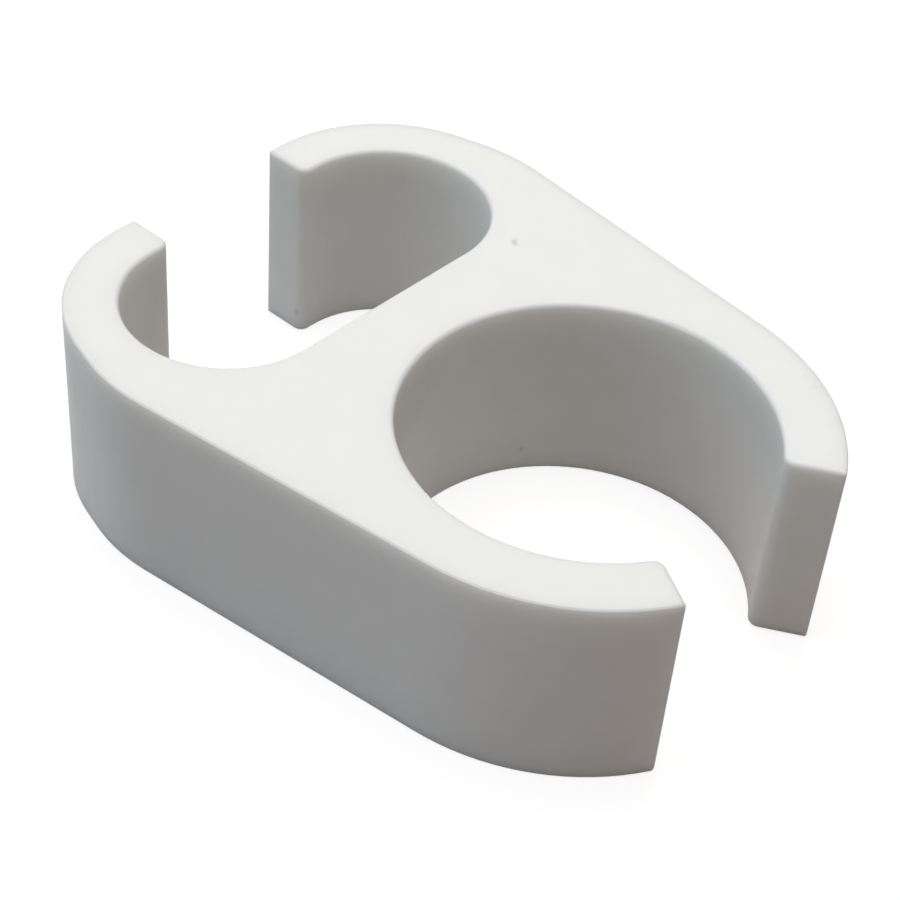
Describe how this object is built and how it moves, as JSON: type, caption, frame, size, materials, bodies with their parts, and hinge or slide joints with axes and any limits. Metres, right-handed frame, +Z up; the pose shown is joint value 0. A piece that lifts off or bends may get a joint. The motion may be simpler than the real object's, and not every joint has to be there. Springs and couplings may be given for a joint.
{
  "type": "pipe clip",
  "caption": "One-piece white plastic clip: a C-shaped round jaw that grips a pipe, back to back with an open oval pocket for a flat-sided tube.",
  "frame": {"origin": "on the axis of the round jaw's bore, at the bottom face", "axes": "+X along the clip, out of the round jaw's mouth; +Y across the clip; +Z up along the bore's axis"},
  "size_m": [0.0505, 0.039, 0.015],
  "materials": {
    "white_plastic": "satin, as moulded"
  },
  "bodies": {
    "root": {"pipe_clip": "white_plastic"}
  },
  "joints": []
}
